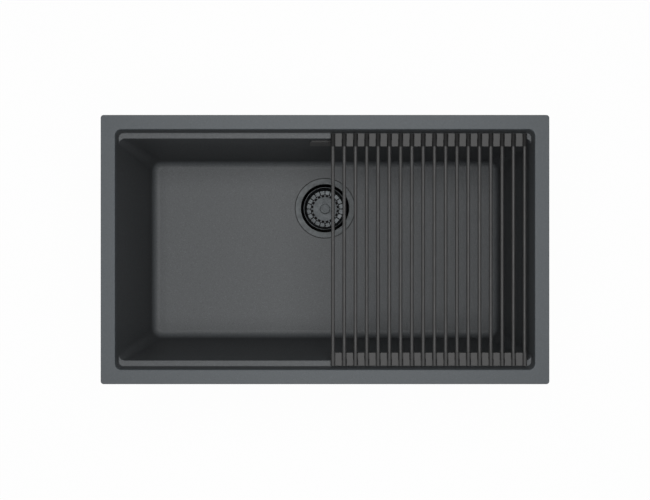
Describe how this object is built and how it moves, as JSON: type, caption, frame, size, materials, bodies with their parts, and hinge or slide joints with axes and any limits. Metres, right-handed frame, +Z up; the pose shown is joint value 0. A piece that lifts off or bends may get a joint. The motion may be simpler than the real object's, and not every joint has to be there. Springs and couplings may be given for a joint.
{
  "type": "kitchen sink",
  "caption": "Rectangular granite kitchen sink with a stepped ledge, a basket strainer, an overflow and a drainer mat of metal rods that slides and rolls up.",
  "frame": {"origin": "middle of the bowl opening on the rim's top face", "axes": "+X along the long side to the right, +Y towards the back wall with the overflow, +Z up out of the bowl"},
  "size_m": [0.75, 0.45, 0.2927],
  "materials": {
    "granite": "matte fine grain",
    "strainer_metal": "dark brushed",
    "basket_metal": "dark satin",
    "knob_metal": "dark satin",
    "stem_metal": "bright",
    "brass": "machined",
    "seal_rubber": "matte",
    "waste_plastic": "moulded",
    "cover_plastic": "satin",
    "rod_metal": "dark satin",
    "mat_silicone": "matte"
  },
  "bodies": {
    "sink": {"sink_bowl": "granite", "clip_inserts": "brass", "strainer_cup": "strainer_metal", "flange_seal": "seal_rubber", "clamp_screw": "stem_metal", "screw_insert": "brass", "housing_seal": "seal_rubber", "waste_housing": "waste_plastic", "overflow_cover": "cover_plastic", "overflow_frame": "cover_plastic", "overflow_screws": "stem_metal", "overflow_seal": "seal_rubber", "overflow_housing": "waste_plastic", "overflow_pipe": "waste_plastic", "pipe_washers": "seal_rubber", "pipe_nuts": "waste_plastic"},
    "strainer": {"basket": "basket_metal", "basket_knob": "knob_metal", "basket_stem": "stem_metal", "stem_ring": "seal_rubber", "basket_seal": "seal_rubber"},
    "mat_01": {"mat_rod_01": "rod_metal", "mat_link_01": "mat_silicone"},
    "mat_02": {"mat_rod_02": "rod_metal", "mat_link_02": "mat_silicone"},
    "mat_03": {"mat_rod_03": "rod_metal", "mat_link_03": "mat_silicone"},
    "mat_04": {"mat_rod_04": "rod_metal", "mat_link_04": "mat_silicone"},
    "mat_05": {"mat_rod_05": "rod_metal", "mat_link_05": "mat_silicone"},
    "mat_06": {"mat_rod_06": "rod_metal", "mat_link_06": "mat_silicone"},
    "mat_07": {"mat_rod_07": "rod_metal", "mat_link_07": "mat_silicone"},
    "mat_08": {"mat_rod_08": "rod_metal", "mat_link_08": "mat_silicone"},
    "mat_09": {"mat_rod_09": "rod_metal", "mat_link_09": "mat_silicone"},
    "mat_10": {"mat_rod_10": "rod_metal", "mat_link_10": "mat_silicone"},
    "mat_11": {"mat_rod_11": "rod_metal", "mat_link_11": "mat_silicone"},
    "mat_12": {"mat_rod_12": "rod_metal", "mat_link_12": "mat_silicone"},
    "mat_13": {"mat_rod_13": "rod_metal", "mat_link_13": "mat_silicone"},
    "mat_14": {"mat_rod_14": "rod_metal", "mat_link_14": "mat_silicone"},
    "mat_15": {"mat_rod_15": "rod_metal", "mat_link_15": "mat_silicone"},
    "mat_16": {"mat_rod_16": "rod_metal", "mat_link_16": "mat_silicone"},
    "mat_17": {"mat_rod_17": "rod_metal", "mat_link_17": "mat_silicone", "mat_rod_18": "rod_metal"}
  },
  "joints": [
    {"name": "basket_lift", "type": "slide", "parent": "sink", "child": "strainer", "axis": [0, 0, 1], "range_m": [0, 0.15]},
    {"name": "mat_slide", "type": "slide", "parent": "sink", "child": "mat_01", "axis": [1, 0, 0], "range_m": [-0.3497, 0]},
    {"name": "mat_roll_01", "type": "hinge", "parent": "mat_01", "child": "mat_02", "pos_m": [0.31737, 0, -0.0139], "axis": [0, 1, 0], "range_deg": [0, 16]},
    {"name": "mat_roll_02", "type": "hinge", "parent": "mat_02", "child": "mat_03", "pos_m": [0.29837, 0, -0.0139], "axis": [0, 1, 0], "range_deg": [0, 17.73]},
    {"name": "mat_roll_03", "type": "hinge", "parent": "mat_03", "child": "mat_04", "pos_m": [0.27937, 0, -0.0139], "axis": [0, 1, 0], "range_deg": [0, 19.47]},
    {"name": "mat_roll_04", "type": "hinge", "parent": "mat_04", "child": "mat_05", "pos_m": [0.26037, 0, -0.0139], "axis": [0, 1, 0], "range_deg": [0, 21.2]},
    {"name": "mat_roll_05", "type": "hinge", "parent": "mat_05", "child": "mat_06", "pos_m": [0.24137, 0, -0.0139], "axis": [0, 1, 0], "range_deg": [0, 22.93]},
    {"name": "mat_roll_06", "type": "hinge", "parent": "mat_06", "child": "mat_07", "pos_m": [0.22237, 0, -0.0139], "axis": [0, 1, 0], "range_deg": [0, 24.67]},
    {"name": "mat_roll_07", "type": "hinge", "parent": "mat_07", "child": "mat_08", "pos_m": [0.20337, 0, -0.0139], "axis": [0, 1, 0], "range_deg": [0, 26.4]},
    {"name": "mat_roll_08", "type": "hinge", "parent": "mat_08", "child": "mat_09", "pos_m": [0.18437, 0, -0.0139], "axis": [0, 1, 0], "range_deg": [0, 28.13]},
    {"name": "mat_roll_09", "type": "hinge", "parent": "mat_09", "child": "mat_10", "pos_m": [0.16537, 0, -0.0139], "axis": [0, 1, 0], "range_deg": [0, 29.87]},
    {"name": "mat_roll_10", "type": "hinge", "parent": "mat_10", "child": "mat_11", "pos_m": [0.14637, 0, -0.0139], "axis": [0, 1, 0], "range_deg": [0, 31.6]},
    {"name": "mat_roll_11", "type": "hinge", "parent": "mat_11", "child": "mat_12", "pos_m": [0.12737, 0, -0.0139], "axis": [0, 1, 0], "range_deg": [0, 33.33]},
    {"name": "mat_roll_12", "type": "hinge", "parent": "mat_12", "child": "mat_13", "pos_m": [0.10837, 0, -0.0139], "axis": [0, 1, 0], "range_deg": [0, 35.07]},
    {"name": "mat_roll_13", "type": "hinge", "parent": "mat_13", "child": "mat_14", "pos_m": [0.08937, 0, -0.0139], "axis": [0, 1, 0], "range_deg": [0, 36.8]},
    {"name": "mat_roll_14", "type": "hinge", "parent": "mat_14", "child": "mat_15", "pos_m": [0.07037, 0, -0.0139], "axis": [0, 1, 0], "range_deg": [0, 38.53]},
    {"name": "mat_roll_15", "type": "hinge", "parent": "mat_15", "child": "mat_16", "pos_m": [0.05137, 0, -0.0139], "axis": [0, 1, 0], "range_deg": [0, 40.27]},
    {"name": "mat_roll_16", "type": "hinge", "parent": "mat_16", "child": "mat_17", "pos_m": [0.03237, 0, -0.0139], "axis": [0, 1, 0], "range_deg": [0, 42]}
  ],
  "couplings": [
    {"joint": "mat_roll_02", "follows": "mat_roll_01", "ratio": 1.1083},
    {"joint": "mat_roll_03", "follows": "mat_roll_01", "ratio": 1.2167},
    {"joint": "mat_roll_04", "follows": "mat_roll_01", "ratio": 1.325},
    {"joint": "mat_roll_05", "follows": "mat_roll_01", "ratio": 1.4333},
    {"joint": "mat_roll_06", "follows": "mat_roll_01", "ratio": 1.5417},
    {"joint": "mat_roll_07", "follows": "mat_roll_01", "ratio": 1.65},
    {"joint": "mat_roll_08", "follows": "mat_roll_01", "ratio": 1.7583},
    {"joint": "mat_roll_09", "follows": "mat_roll_01", "ratio": 1.8667},
    {"joint": "mat_roll_10", "follows": "mat_roll_01", "ratio": 1.975},
    {"joint": "mat_roll_11", "follows": "mat_roll_01", "ratio": 2.0833},
    {"joint": "mat_roll_12", "follows": "mat_roll_01", "ratio": 2.1917},
    {"joint": "mat_roll_13", "follows": "mat_roll_01", "ratio": 2.3},
    {"joint": "mat_roll_14", "follows": "mat_roll_01", "ratio": 2.4083},
    {"joint": "mat_roll_15", "follows": "mat_roll_01", "ratio": 2.5167},
    {"joint": "mat_roll_16", "follows": "mat_roll_01", "ratio": 2.625}
  ]
}
